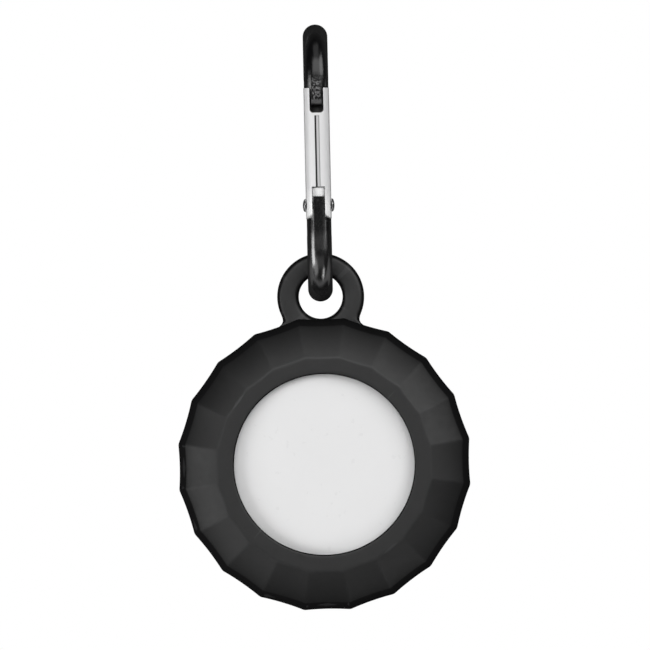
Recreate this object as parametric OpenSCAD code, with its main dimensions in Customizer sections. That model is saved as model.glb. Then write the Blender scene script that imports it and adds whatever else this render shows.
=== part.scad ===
// Tracker tag holder: a soft faceted case with a tag inside, hanging on a small snap hook.
// Front is -Y, up is +Z. The origin is where the hook hangs: the inner top of its bend.

/* [Snap hook] */
// Length of the hook over its two bends
hook_length = 42; // [38:0.5:48]
// Diameter of the bent rod
rod_d = 3.75; // [3.5:0.05:4.1]
// Centreline radius of the two bends on the gate's side
small_bend_r = 6; // [5.6:0.1:7]
// Centreline radius of the two bends on the spine's side
wide_bend_r = 10; // [8.5:0.1:12]
// Straight rod between the top bend and the flattened nose
nose_straight = 0.7; // [0.3:0.1:1.5]
// Straight rod between the bottom bend and the flattened hinge end
hinge_straight = 2; // [1:0.1:3]
// Width across the flats at the nose and at the hinge end
flat_w = 3.57; // [3.3:0.01:3.6]
// Length of the flats at the nose
nose_flat_len = 1; // [0.6:0.1:1.6]
// Length of the flats at the hinge end
hinge_flat_len = 2.4; // [1:0.1:3]
// Thickness of the tongues at the nose and at the hinge
tongue_t = 1.55; // [1.3:0.05:1.7]
// Length of the nose tongue below its shoulder
nose_tongue_len = 2.85; // [2:0.05:3.2]

/* [Gate] */
// Outer diameter of the rolled gate
gate_d = 3.85; // [3.7:0.05:4.1]
// Thickness of the gate's sheet
gate_wall = 0.5; // [0.4:0.05:0.55]
// Gap between the gate's ends and the shoulders of the rod
gate_gap = 0.2; // [0.15:0.01:0.4]
// Radius of the gate's rounded end about its rivet
gate_end_r = 2.05; // [2:0.05:2.4]
// Width of the groove where the sheet's edges lap in the gate's outer side
seam_w = 0.68; // [0.4:0.02:0.9]
// Depth of that groove
seam_depth = 0.2; // [0.1:0.05:0.3]
// Length of gate between that groove and the slot above it
seam_end = 0.4; // [0.3:0.05:0.8]
// Width of the slot that takes the nose tongue
nose_slot_w = 2.1; // [2:0.05:2.3]
// Length of the slot that takes the nose tongue
nose_slot_len = 3.75; // [3.5:0.05:4.5]
// Width of the slot over the hinge tongue
hinge_slot_w = 1.95; // [1.85:0.05:2.2]
// Height of the slot over the hinge tongue, above the rivet
hinge_slot_over = 2.8; // [2.7:0.05:3.2]
// Diameter of the rivet's shank
rivet_d = 1.2; // [1:0.05:1.3]
// Diameter of the rivet's heads
rivet_head_d = 2; // [1.7:0.05:2.3]
// Height of each rivet head
rivet_head_h = 0.45; // [0.3:0.05:0.6]

/* [Gate spring] */
// Length of the spring when the gate is shut
spring_len = 7.2; // [6:0.1:8]
// Outer diameter of the spring
spring_d = 2.3; // [2:0.05:2.4]
// Diameter of the spring's wire
wire_d = 0.3; // [0.24:0.01:0.34]
// Number of turns of the spring
spring_turns = 9; // [6:1:10]
// Thickness of the follower between spring and tongue
follower_t = 1.3; // [1:0.05:1.4]

/* [Hanging ring] */
// Diameter of the ring's hole
ring_hole_d = 6.64; // [6:0.05:7]
// Width of the ring's band, from the hole to its outer edge
ring_band = 3.27; // [2.8:0.05:3.6]
// Thickness of the ring from front to back
ring_t = 3; // [2.4:0.05:3.4]
// Rounding of the ring's edges
ring_edge_r = 0.8; // [0.5:0.05:1]
// Height of the ring's hole above the case's rim
ring_rise = 0.15; // [0.1:0.05:0.6]

/* [Case] */
// Width of the case's rim outside the pocket, at the middle of a facet
rim_w = 5.85; // [5:0.05:7]
// Number of facets round the case
facets = 20; // [16:1:24]
// Radius of the hollow in each facet, seen from the front
facet_hollow_r = 40; // [30:1:80]
// Width of the facets, seen from the front
facet_w = 5.85; // [5:0.05:6.2]
// Slope of the facets where they leave the flat front, in degrees
slope_in = 18; // [14:1:22]
// Slope of the facets where they roll over into the rim, in degrees
slope_out = 30; // [26:1:34]
// Radius of the roll at the rim
roll_r = 2.25; // [1.8:0.05:2.5]
// Width of the gap round the battery cover inside the round window
window_margin = 0.85; // [0.3:0.05:1.2]
// Thickness of the lips that hold the tag
lip_t = 1.3; // [1.1:0.05:1.8]

/* [Tag] */
// Width of the tag's rear housing outside the battery cover
housing_w = 3.15; // [3:0.05:3.5]
// Room for parts between the circuit board and the front housing
parts_room = 1.75; // [1.65:0.05:2.2]
// Rounding of the tag's edges
tag_edge_r = 2.4; // [2:0.1:2.6]
// Wall of the tag's two housings
shell_wall = 0.8; // [0.7:0.05:0.9]
// Height of the joint between the two housings, from the tag's middle
joint_level = -1; // [-1.3:0.1:-0.8]
// Width of the housing's wall round the coin cell
well_wall = 0.9; // [0.8:0.05:1.1]
// Thickness of the battery cover
cover_t = 0.4; // [0.3:0.05:0.5]
// Number of bayonet lugs on the battery cover
lugs = 3; // [2:1:4]
// Angle that the battery cover turns to come free
cover_turn = 20; // [12:1:24]
// Diameter of the coin cell
cell_d = 20; // [19:0.5:24.5]
// Thickness of the coin cell
cell_t = 3.2; // [2.5:0.1:3.6]
// Thickness of the ring-shaped circuit board
board_t = 0.6; // [0.5:0.05:0.8]
// Diameter of the sounder's magnet
magnet_d = 9.6; // [9:0.1:9.8]
// Thickness of the sounder's magnet
magnet_t = 1.8; // [1.6:0.05:1.9]

/* [Clearances] */
// Clearance between the tag and its pocket
pocket_gap = 0.1; // [0.05:0.01:0.15]
// Gap between the ring and the rod that it hangs on
hang_gap = 0.3; // [0.25:0.01:0.4]
// Running clearance of the gate on its rivet
rivet_gap = 0.03; // [0.02:0.005:0.05]
// Clearance between parts that slide or turn on each other
slide_gap = 0.1; // [0.08:0.01:0.12]

/* [Hidden] */
$fn = 96;

// How far a cutter runs past the face that it cuts
over = 1;

// How far stretches of the rod that join run into each other
lap = 0.2;

// Hook: levels along Z, worked out from the bends
rod_r = rod_d / 2;
top_bend_z = rod_r - small_bend_r;
top_wide_z = rod_r - wide_bend_r;
foot_z = rod_d + rod_r - hook_length;
bottom_bend_z = foot_z + small_bend_r;
bottom_wide_z = foot_z + wide_bend_r;
nose_step_z = top_bend_z - nose_straight;
nose_shoulder_z = nose_step_z - nose_flat_len;
hinge_step_z = bottom_bend_z + hinge_straight;
hinge_shoulder_z = hinge_step_z + hinge_flat_len;
gate_y = -small_bend_r;

// Gate: levels and depths, the depths counted from the middle of the gate
gate_r = gate_d / 2;
gate_bore_r = gate_r - gate_wall;
gate_top_z = nose_shoulder_z - gate_gap;
rivet_z = hinge_shoulder_z + gate_gap + gate_end_r;
tongue_front = rod_r - slide_gap;
tongue_back = sqrt(gate_bore_r ^ 2 - (tongue_t / 2) ^ 2) - 1.5 * slide_gap;
tongue_top_z = rivet_z + hinge_slot_over - follower_t - 2 * slide_gap;
follower_z = tongue_top_z + slide_gap / 2;
seat_z = follower_z + follower_t + spring_len;

// Tag: sizes outwards from the coin cell, over the bayonet of its cover
leg_t = 0.6;
leg_room = 0.5;
lug_reach = 0.6;
well_r = cell_d / 2 + slide_gap;
well_outer_r = well_r + well_wall;
leg_inner_r = well_outer_r + leg_room;
leg_outer_r = leg_inner_r + leg_t;
lug_r = leg_outer_r + lug_reach;
cover_r = lug_r + slide_gap;
tag_r = cover_r + housing_w;
shell_inner_r = tag_r - shell_wall;

// Tag: the stack of its pieces from the cover to the front, then levels from the tag's middle
leaf_t = 0.15;
leaf_room = 0.35;
floor_t = 0.5;
board_rise = 0.3;
rear_stack = cover_t + slide_gap + cell_t + leaf_room + floor_t;
tag_t = rear_stack + board_rise + board_t + parts_room + shell_wall;
tag_half_t = tag_t / 2;
cover_inner_h = -tag_half_t + cover_t;
cell_rear_h = cover_inner_h + slide_gap;
cell_front_h = cell_rear_h + cell_t;
floor_rear_h = cell_front_h + leaf_room;
floor_front_h = floor_rear_h + floor_t;
board_rear_h = floor_front_h + board_rise;
board_front_h = board_rear_h + board_t;
shell_inner_h = tag_half_t - shell_wall;
board_seat_w = 0.9;
board_r = shell_inner_r - slide_gap - leaf_t;

// Bayonet of the battery cover: levels of its lugs and the width of its legs
lug_t = 0.45;
ledge_t = 0.5;
leg_angle = 14;
lug_rear_h = cover_inner_h + ledge_t + slide_gap;
lug_front_h = lug_rear_h + lug_t;

// Case: the ring's hole stands just above the rim, and the ring hangs on the bottom bend
pocket_r = tag_r + pocket_gap;
window_r = cover_r + window_margin;
case_r = pocket_r + rim_w;
ring_r = ring_hole_d / 2 + ring_band;
ring_z = foot_z + rod_r + hang_gap - ring_hole_d / 2;
case_z = ring_z - ring_hole_d / 2 - ring_rise - case_r;
case_half_t = tag_t / 2 + pocket_gap + lip_t;
facet_angle = 360 / facets;

// Case: each facet is hollow about an axis that stands outside the case
hollow_axis_r = case_r + facet_hollow_r;
half_facet = facet_angle / 2;

// Case: how finely a facet is divided across, on its slope and on its roll
facet_steps = 4;
slope_steps = 4;
roll_steps = 4;

// Case: the section through the middle of a facet, as distances from the tag's axis
flat_r = case_r - facet_w;
roll_start_r = case_r - roll_r * (1 - sin(slope_out));
slope_r = (roll_start_r - flat_r) / (sin(slope_out) - sin(slope_in));
slope_centre_r = flat_r - slope_r * sin(slope_in);
slope_centre_h = case_half_t - slope_r * cos(slope_in);
roll_centre_r = case_r - roll_r;
roll_centre_h = slope_centre_h + (slope_r - roll_r) * cos(slope_out);

// Sounder: the magnet's cup stands on the floor, and the coil hangs from the face
yoke_t = 0.3;
yoke_gap = 0.3;
coil_t = 0.45;
magnet_r = magnet_d / 2;
coil_inner_r = magnet_r + yoke_gap;
coil_outer_r = coil_inner_r + coil_t;
yoke_inner_r = coil_outer_r + yoke_gap;
yoke_r = yoke_inner_r + 1.2 * yoke_t;
board_hole_r = yoke_r + yoke_gap;

// Contacts: leaves at the side of the cell, and one with its leg beside the sounder
side_contact_angles = [60, 120];
side_leaf_w = 2;
side_leaf_room = 0.6;
side_leaf_foot_h = cell_rear_h + cell_t / 4;
negative_w = 1.6;
negative_leg_r = yoke_r + yoke_gap + slide_gap;

// Parts on the board
chip_ring_r = (board_hole_r + board_r) / 2;
chip_l = 3;
chip_w = 3;
chip_h = 0.6;
small_chips = 6;
small_chip_l = 0.6;
small_chip_step = 9;
can_l = 5.5;
can_w = 4.5;
can_h = 0.8;

// Antenna ring against the inner side of the face
carrier_t = 0.6;
carrier_w = 2.6;
carrier_r = shell_inner_r - (tag_edge_r - shell_wall) - slide_gap;
carrier_inner_r = carrier_r - carrier_w;

// The part of a disc beyond a chord, between two angles counted from +Y towards +X
module arc_piece(centre, arc_r, from_angle, to_angle) {
    from_way = [sin(from_angle), cos(from_angle)];
    to_way = [sin(to_angle), cos(to_angle)];
    intersection() {
        translate(centre) circle(r = arc_r, $fn = 240);
        polygon([
            centre + arc_r * from_way, centre + (arc_r + over) * from_way,
            centre + (arc_r + over) * to_way, centre + arc_r * to_way
        ]);
    }
}

// Slot that stands on the X axis, with its two lower corners rounded
module slot_outline(width, height, corner_r) {
    polygon([
        [-width / 2 + corner_r, 0], [width / 2 - corner_r, 0], [width / 2, corner_r],
        [width / 2, height], [-width / 2, height], [-width / 2, corner_r]
    ]);
    arc_piece([width / 2 - corner_r, corner_r], corner_r, 90, 180);
    arc_piece([-width / 2 + corner_r, corner_r], corner_r, 180, 270);
}

// Half section of a disc, round its axis, with its two outer edges rounded
module disc_section(outer_r, half_h, edge_r) {
    polygon([
        [0, -half_h], [outer_r - edge_r, -half_h], [outer_r, -half_h + edge_r],
        [outer_r, half_h - edge_r], [outer_r - edge_r, half_h], [0, half_h]
    ]);
    arc_piece([outer_r - edge_r, half_h - edge_r], edge_r, 0, 90);
    arc_piece([outer_r - edge_r, -half_h + edge_r], edge_r, 90, 180);
}

// Half section of a ring, round its axis, with all four edges rounded
module ring_section(inner_r, outer_r, half_h, edge_r) {
    polygon([
        [inner_r + edge_r, -half_h], [outer_r - edge_r, -half_h],
        [outer_r, -half_h + edge_r], [outer_r, half_h - edge_r],
        [outer_r - edge_r, half_h], [inner_r + edge_r, half_h],
        [inner_r, half_h - edge_r], [inner_r, -half_h + edge_r]
    ]);
    arc_piece([outer_r - edge_r, half_h - edge_r], edge_r, 0, 90);
    arc_piece([outer_r - edge_r, -half_h + edge_r], edge_r, 90, 180);
    arc_piece([inner_r + edge_r, -half_h + edge_r], edge_r, 180, 270);
    arc_piece([inner_r + edge_r, half_h - edge_r], edge_r, 270, 360);
}

// Rectangle between two radii, or two distances, and between two levels
module band_section(inner_r, outer_r, from_h, to_h) {
    polygon([[inner_r, from_h], [outer_r, from_h], [outer_r, to_h], [inner_r, to_h]]);
}

// Stands the tag's axis along Y, so that what is up in the drawing plane is the front
module on_tag_axis(level_z = case_z) {
    translate([0, 0, level_z]) rotate([90, 0, 0]) children();
}

// Puts children in the middle of the gate, with their own zero at the rivet
module at_rivet() {
    translate([0, gate_y, rivet_z]) children();
}

// An upright stretch of the rod, from a level up
module leg_up(rod_y, from_z, length) {
    translate([0, rod_y, from_z]) cylinder(r = rod_r, h = length, $fn = 64);
}

// An upright stretch of the rod, from a level down
module leg_down(rod_y, from_z, length) {
    translate([0, rod_y, from_z]) rotate([180, 0, 0]) cylinder(r = rod_r, h = length, $fn = 64);
}

// A quarter bend of the rod about a point above or below the origin, from an angle on, zero at +Y
module rod_bend(centre_z, bend_r, from_angle) {
    translate([0, 0, centre_z]) rotate([90, 0, 90]) rotate([0, 0, from_angle])
        rotate_extrude(angle = 90, $fn = 128)
            translate([bend_r, 0]) circle(r = rod_r, $fn = 64);
}

// Rod on the gate's side, pressed to a width and cut back at its front and its back
module pressed_rod(width, front, back, from_z, to_z) {
    intersection() {
        leg_up(gate_y, from_z, to_z - from_z);
        translate([-width / 2, gate_y - front, from_z - over])
            cube([width, front + back, to_z - from_z + 2 * over]);
    }
}

module hook_body() {
    spine_leg = (top_wide_z - bottom_wide_z) / 2 + lap;
    nose_end_r = (tongue_front + tongue_back) / 2;
    nose_end_z = nose_shoulder_z - nose_tongue_len + nose_end_r;
    color([0.05, 0.05, 0.055]) {
        difference() {
            union() {
                rod_bend(top_bend_z, small_bend_r, 90);
                rod_bend(top_wide_z, wide_bend_r, 0);
                rod_bend(bottom_wide_z, wide_bend_r, 270);
                rod_bend(bottom_bend_z, small_bend_r, 180);
                leg_down(wide_bend_r, top_wide_z, spine_leg);
                leg_up(wide_bend_r, bottom_wide_z, spine_leg);
                leg_down(gate_y, top_bend_z, nose_straight);
                leg_up(gate_y, bottom_bend_z, hinge_straight);
                pressed_rod(flat_w, rod_d, rod_d, nose_shoulder_z, nose_step_z + lap);
                pressed_rod(flat_w, rod_d, rod_d, hinge_step_z - lap, hinge_shoulder_z);
                pressed_rod(tongue_t, tongue_front, tongue_back, nose_end_z, nose_shoulder_z + lap);
                pressed_rod(tongue_t, tongue_front, tongue_back, hinge_shoulder_z - lap, tongue_top_z);
                intersection() {
                    leg_up(gate_y, nose_end_z - rod_d, rod_d + nose_end_r);
                    translate([-tongue_t / 2, gate_y + tongue_back - nose_end_r, nose_end_z])
                        rotate([0, 90, 0]) cylinder(r = nose_end_r, h = tongue_t);
                }
            }
            at_rivet() translate([-over - tongue_t, 0, 0])
                rotate([0, 90, 0]) cylinder(d = rivet_d + 2 * rivet_gap, h = 2 * (tongue_t + over));
        }
    }
}

module gate() {
    length = gate_top_z - rivet_z;
    web_cut = tongue_top_z - rivet_z;
    seat_t = gate_wall / 2;
    color([0.78, 0.78, 0.79]) at_rivet() {
        difference() {
            union() {
                cylinder(r = gate_r, h = length);
                intersection() {
                    translate([0, 0, -gate_end_r]) cylinder(r = gate_r, h = gate_end_r);
                    translate([-gate_d, 0, 0]) rotate([0, 90, 0]) cylinder(r = gate_end_r, h = 2 * gate_d);
                }
            }
            difference() {
                translate([0, 0, -gate_end_r - over])
                    cylinder(r = gate_bore_r, h = length + gate_end_r + 2 * over);
                translate([-gate_r, 0, seat_z - rivet_z]) cube([gate_d, gate_r, seat_t]);
            }
            translate([-seam_w / 2, -gate_d, 0])
                cube([seam_w, gate_d - gate_r + seam_depth, length - nose_slot_len - seam_end]);
            translate([0, 0, length - nose_slot_len]) rotate([90, 0, 0])
                linear_extrude(gate_d) slot_outline(nose_slot_w, nose_slot_len + over, nose_slot_w / 4);
            translate([-hinge_slot_w / 2, -gate_d, -gate_end_r - over])
                cube([hinge_slot_w, gate_d, gate_end_r + over + hinge_slot_over]);
            translate([-hinge_slot_w / 2, 0, -gate_end_r - over])
                cube([hinge_slot_w, gate_d, gate_end_r + over + web_cut]);
            rotate([0, 90, 0])
                cylinder(d = rivet_d + 2 * rivet_gap, h = 2 * gate_d, center = true);
        }
    }
}

module gate_rivet() {
    head_start = gate_r + rivet_gap;
    head_sphere_r = ((rivet_head_d / 2) ^ 2 + rivet_head_h ^ 2) / (2 * rivet_head_h);
    color([0.12, 0.12, 0.13]) at_rivet() {
        rotate([0, 90, 0]) cylinder(d = rivet_d, h = 2 * head_start, center = true);
        for (side = [-1, 1])
            rotate([0, side * 90, 0])
                intersection() {
                    translate([0, 0, head_start]) cylinder(d = rivet_head_d, h = rivet_head_h);
                    translate([0, 0, head_start + rivet_head_h - head_sphere_r]) sphere(r = head_sphere_r);
                }
    }
}

// Points of one ring of the spring's wire, at a share of its length from the foot
function wire_ring(share, coil_r, sides) =
    let (
        turn = 360 * spring_turns * share,
        middle_z = wire_d / 2 + (spring_len - wire_d) * share
    )
    [for (side = [0 : sides - 1])
        let (
            around = 360 * side / sides,
            reach = coil_r + cos(around) * wire_d / 2
        )
        [reach * cos(turn), reach * sin(turn), middle_z + sin(around) * wire_d / 2]];

module gate_spring() {
    sides = 6;
    rings = 8 * spring_turns;
    coil_r = (spring_d - wire_d) / 2;
    points = [for (ring = [0 : rings]) each wire_ring(ring / rings, coil_r, sides)];
    walls = [for (ring = [0 : rings - 1]) for (side = [0 : sides - 1])
        let (
            here = ring * sides + side,
            beside = ring * sides + (side + 1) % sides
        )
        each [[here, here + sides, beside], [beside, here + sides, beside + sides]]];
    foot = [[for (side = [0 : sides - 1]) side]];
    head = [[for (side = [sides - 1 : -1 : 0]) rings * sides + side]];
    pitch = (spring_len - wire_d) / spring_turns;
    echo(least_gap_between_turns = pitch - wire_d);
    color([0.6, 0.6, 0.62])
        translate([0, gate_y, follower_z + follower_t])
            polyhedron(points = points, faces = concat(foot, walls, head));
}

module gate_follower() {
    color([0.92, 0.92, 0.92])
        translate([0, gate_y, follower_z])
            cylinder(r = gate_bore_r - slide_gap / 2, h = follower_t);
}

// Section of the tag's two housings between two levels
module housing_section(from_h, to_h) {
    intersection() {
        difference() {
            disc_section(tag_r, tag_half_t, tag_edge_r);
            disc_section(shell_inner_r, shell_inner_h, tag_edge_r - shell_wall);
        }
        band_section(0, tag_r + over, from_h, to_h);
    }
}

// Section of the case's front half through the middle of a facet, from the rim to the flat
// front, as pairs of a distance from the tag's axis and a height
function half_section() = [
    for (step = [0 : roll_steps])
        let (slope = 90 - (90 - slope_out) * step / roll_steps)
        [roll_centre_r + roll_r * sin(slope), roll_centre_h + roll_r * cos(slope)],
    for (step = [1 : slope_steps])
        let (slope = slope_out - (slope_out - slope_in) * step / slope_steps)
        [slope_centre_r + slope_r * sin(slope), slope_centre_h + slope_r * cos(slope)]
];

// Distance from the tag's axis at an angle off a facet's middle, on the hollow that cuts
// the middle at mid_r
function hollow_reach(mid_r, off_middle) =
    hollow_axis_r * cos(off_middle)
    - sqrt((hollow_axis_r - mid_r) ^ 2 - (hollow_axis_r * sin(off_middle)) ^ 2);

// The faceted body: hollow facets all round, one facet's middle straight up
module faceted_blank() {
    front = half_section();
    section = concat([for (step = [len(front) - 1 : -1 : 0]) [front[step][0], -front[step][1]]], front);
    levels = len(section);
    columns = facets * facet_steps;
    points = [for (point = section) for (column = [0 : columns - 1])
        let (
            off_middle = half_facet * (2 * (column % facet_steps) / facet_steps - 1),
            around = 90 + half_facet + column * facet_angle / facet_steps,
            reach = hollow_reach(point[0], off_middle)
        )
        [reach * cos(around), reach * sin(around), point[1]]];
    walls = [for (level = [0 : levels - 2]) for (column = [0 : columns - 1])
        let (
            here = level * columns + column,
            beside = level * columns + (column + 1) % columns
        )
        each [[here, here + columns, beside], [beside, here + columns, beside + columns]]];
    rear = [[for (column = [0 : columns - 1]) column]];
    face = [[for (column = [columns - 1 : -1 : 0]) (levels - 1) * columns + column]];
    polyhedron(points = points, faces = concat(rear, walls, face));
}

module holder_case() {
    color([0.045, 0.045, 0.047]) difference() {
        union() {
            on_tag_axis() faceted_blank();
            on_tag_axis(ring_z) rotate_extrude()
                ring_section(ring_hole_d / 2, ring_r, ring_t / 2, ring_edge_r);
        }
        on_tag_axis() rotate_extrude()
            disc_section(pocket_r, tag_half_t + pocket_gap, tag_edge_r + pocket_gap);
        on_tag_axis() cylinder(r = window_r, h = 2 * (case_half_t + over), center = true);
    }
}

module tag_front_shell() {
    color([0.93, 0.93, 0.93]) on_tag_axis()
        rotate_extrude() housing_section(joint_level, tag_half_t);
}

// A sector of a ring, between two radii, two levels and two angles
module sector(inner_r, outer_r, from_h, to_h, from_angle, to_angle) {
    rotate([0, 0, from_angle])
        rotate_extrude(angle = to_angle - from_angle) band_section(inner_r, outer_r, from_h, to_h);
}

// Room for one bayonet lug: its way in, and the turn behind its ledge
module lug_room() {
    spare_angle = 2;
    half_angle = leg_angle / 2 + spare_angle;
    from_angle = -cover_turn - half_angle;
    top_h = lug_front_h + 1.5 * slide_gap;
    groove_r = lug_r + slide_gap;
    sector(leg_inner_r, groove_r, lug_rear_h - slide_gap, top_h, from_angle, half_angle);
    sector(leg_inner_r, groove_r, -tag_half_t - over, top_h, from_angle, from_angle + 2 * half_angle);
}

module tag_rear_frame() {
    spigot_r = shell_inner_r - slide_gap;
    spigot_inner_r = spigot_r - board_seat_w;
    shoulder_h = joint_level - shell_wall;
    block_r = lug_r + slide_gap + shell_wall;
    block_front_h = lug_front_h + slide_gap + shell_wall;
    color([0.86, 0.86, 0.86]) on_tag_axis() difference() {
        rotate_extrude() difference() {
            union() {
                housing_section(-tag_half_t, joint_level);
                band_section(spigot_inner_r, spigot_r, shoulder_h, board_rear_h);
                band_section(spigot_inner_r, tag_r - shell_wall / 2, shoulder_h, joint_level);
                band_section(0, well_outer_r, floor_rear_h, floor_front_h);
                band_section(well_r, well_outer_r, cover_inner_h, floor_front_h);
                band_section(well_r, block_r, cover_inner_h, block_front_h);
            }
            band_section(0, cover_r + slide_gap, -tag_half_t - over, cover_inner_h);
            band_section(0, well_r, -tag_half_t - over, floor_rear_h);
            band_section(leg_inner_r - slide_gap, leg_outer_r + slide_gap,
                -tag_half_t - over, lug_front_h + slide_gap);
        }
        for (lug = [0 : lugs - 1]) rotate([0, 0, lug * 360 / lugs]) lug_room();
        for (angle = side_contact_angles) rotate([0, 0, angle]) side_contact_slot();
        negative_leg_slot();
    }
}

module battery_cover() {
    edge_r = cover_t / 2.5;
    color([0.75, 0.75, 0.76]) on_tag_axis() {
        rotate_extrude() {
            polygon([
                [0, -tag_half_t], [cover_r - edge_r, -tag_half_t],
                [cover_r, -tag_half_t + edge_r], [cover_r, cover_inner_h], [0, cover_inner_h]
            ]);
            arc_piece([cover_r - edge_r, -tag_half_t + edge_r], edge_r, 90, 180);
        }
        for (lug = [0 : lugs - 1]) rotate([0, 0, lug * 360 / lugs]) {
            sector(leg_inner_r, leg_outer_r, cover_inner_h - cover_t / 2, lug_front_h,
                -leg_angle / 2, leg_angle / 2);
            sector(leg_inner_r, lug_r, lug_rear_h, lug_front_h, -leg_angle / 2, leg_angle / 2);
        }
    }
}

module coin_cell() {
    cap_h = 0.25;
    rim_w = 1.2;
    color([0.7, 0.7, 0.72]) on_tag_axis() {
        translate([0, 0, cell_rear_h]) cylinder(d = cell_d, h = cell_t - cap_h);
        translate([0, 0, cell_rear_h]) cylinder(d = cell_d - 2 * rim_w, h = cell_t);
    }
}

// Slot in the well's wall and floor for a side contact, at angle zero
module side_contact_slot() {
    translate([cell_d / 2, -side_leaf_w / 2 - slide_gap, side_leaf_foot_h - slide_gap])
        cube([side_leaf_room, side_leaf_w + 2 * slide_gap, floor_front_h + over - side_leaf_foot_h]);
}

// Slot in the floor for the leg of the contact under the cell's cap
module negative_leg_slot() {
    translate([negative_leg_r - slide_gap, -negative_w / 2 - slide_gap, floor_rear_h - over])
        cube([leaf_t + 2 * slide_gap, negative_w + 2 * slide_gap, floor_t + 2 * over]);
}

module contact_negative() {
    button_r = negative_w / 2;
    color([0.8, 0.65, 0.3]) on_tag_axis() {
        translate([-negative_w, -negative_w / 2, floor_rear_h - leaf_t])
            cube([negative_leg_r + leaf_t + negative_w, negative_w, leaf_t]);
        translate([0, 0, cell_front_h + slide_gap / 2]) cylinder(r = button_r, h = leaf_room - slide_gap / 2);
        translate([negative_leg_r, -negative_w / 2, floor_rear_h - leaf_t])
            cube([leaf_t, negative_w, board_rear_h - floor_rear_h + leaf_t]);
    }
}

module contact_positive() {
    color([0.8, 0.65, 0.3]) on_tag_axis()
        for (angle = side_contact_angles) rotate([0, 0, angle])
            translate([cell_d / 2 + slide_gap / 2, -side_leaf_w / 2, side_leaf_foot_h])
                cube([leaf_t, side_leaf_w, board_rear_h - side_leaf_foot_h]);
}

module circuit_board() {
    color([0.1, 0.3, 0.15]) on_tag_axis()
        rotate_extrude() band_section(board_hole_r, board_r, board_rear_h, board_front_h);
}

// A flat part on the board, by its place round the board and its length and width
module on_board(angle, long, wide, high) {
    rotate([0, 0, angle])
        translate([chip_ring_r - wide / 2, -long / 2, board_front_h]) cube([wide, long, high]);
}

module board_chips() {
    color([0.08, 0.08, 0.09]) on_tag_axis() {
        for (angle = [150, 190]) on_board(angle, chip_l, chip_w, chip_h);
        for (angle = [230, 262, 294]) on_board(angle, chip_l / 2, chip_w / 2, chip_h);
        for (step = [0 : small_chips - 1])
            on_board(318 + step * small_chip_step, small_chip_l, 2 * small_chip_l, chip_h);
    }
}

module shield_can() {
    color([0.7, 0.7, 0.7]) on_tag_axis() rotate([0, 0, 90]) difference() {
        translate([chip_ring_r - can_w / 2, -can_l / 2, board_front_h]) cube([can_w, can_l, can_h]);
        translate([chip_ring_r - can_w / 2 + leaf_t, -can_l / 2 + leaf_t, board_front_h - over])
            cube([can_w - 2 * leaf_t, can_l - 2 * leaf_t, can_h + over - leaf_t]);
    }
}

module antenna_carrier() {
    rear_h = shell_inner_h - carrier_t;
    color([0.25, 0.25, 0.27]) on_tag_axis()
        rotate_extrude() band_section(carrier_inner_r, carrier_r, rear_h, shell_inner_h);
}

module antenna_flex() {
    edge_w = 0.3;
    break_angle = 24;
    color([0.75, 0.45, 0.25]) on_tag_axis()
        sector(carrier_inner_r + edge_w, carrier_r - edge_w,
            shell_inner_h - carrier_t - leaf_t, shell_inner_h - carrier_t, break_angle, 360);
}

module speaker_magnet() {
    color([0.6, 0.6, 0.62]) on_tag_axis()
        translate([0, 0, floor_front_h + yoke_t]) cylinder(r = magnet_r, h = magnet_t);
}

module magnet_yoke() {
    color([0.5, 0.5, 0.52]) on_tag_axis() rotate_extrude() {
        band_section(0, yoke_r, floor_front_h, floor_front_h + yoke_t);
        band_section(yoke_inner_r, yoke_r, floor_front_h, floor_front_h + yoke_t + magnet_t / 2);
    }
}

module voice_coil() {
    coil_h = shell_inner_h - (floor_front_h + yoke_t + magnet_t / 3);
    color([0.72, 0.42, 0.2]) on_tag_axis()
        rotate_extrude() band_section(coil_inner_r, coil_outer_r, shell_inner_h - coil_h, shell_inner_h);
}

hook_body();
gate();
gate_rivet();
gate_spring();
gate_follower();
holder_case();
tag_front_shell();
tag_rear_frame();
battery_cover();
coin_cell();
contact_negative();
contact_positive();
circuit_board();
board_chips();
shield_can();
antenna_carrier();
antenna_flex();
speaker_magnet();
magnet_yoke();
voice_coil();
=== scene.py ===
"""Looks of the tracker tag holder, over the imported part, in millimetres until a mesh is made."""

import math

import bmesh
import bpy
from mathutils import Matrix, Vector


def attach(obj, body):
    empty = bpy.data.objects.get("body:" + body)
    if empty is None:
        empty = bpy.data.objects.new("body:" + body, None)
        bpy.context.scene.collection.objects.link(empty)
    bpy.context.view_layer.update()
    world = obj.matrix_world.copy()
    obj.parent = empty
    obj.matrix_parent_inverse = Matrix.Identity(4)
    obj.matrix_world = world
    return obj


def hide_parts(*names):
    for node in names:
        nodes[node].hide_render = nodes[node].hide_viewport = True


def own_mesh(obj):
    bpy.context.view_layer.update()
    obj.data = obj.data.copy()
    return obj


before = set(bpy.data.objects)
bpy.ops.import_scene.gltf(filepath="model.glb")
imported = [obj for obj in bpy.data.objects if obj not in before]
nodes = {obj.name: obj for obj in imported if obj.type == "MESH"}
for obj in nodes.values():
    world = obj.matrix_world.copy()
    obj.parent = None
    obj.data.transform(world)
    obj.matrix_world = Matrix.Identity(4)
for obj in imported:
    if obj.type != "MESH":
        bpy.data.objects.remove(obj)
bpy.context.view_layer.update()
MM = 0.001

# Clearances, as in the part, and how far a cutter runs past the face that it cuts
SLIDE_GAP = 0.1
POCKET_GAP = 0.1
HANG_GAP = 0.3
RIVET_GAP = 0.03
OVER = 1.0

# Hook: driving sizes, as in the part
HOOK_LENGTH = 42.0
ROD_D = 3.75
SMALL_BEND_R = 6.0
WIDE_BEND_R = 10.0
NOSE_STRAIGHT = 0.7
HINGE_STRAIGHT = 2.0
FLAT_W = 3.57
NOSE_FLAT_LEN = 1.0
HINGE_FLAT_LEN = 2.4
TONGUE_T = 1.55
NOSE_TONGUE_LEN = 2.85

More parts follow.
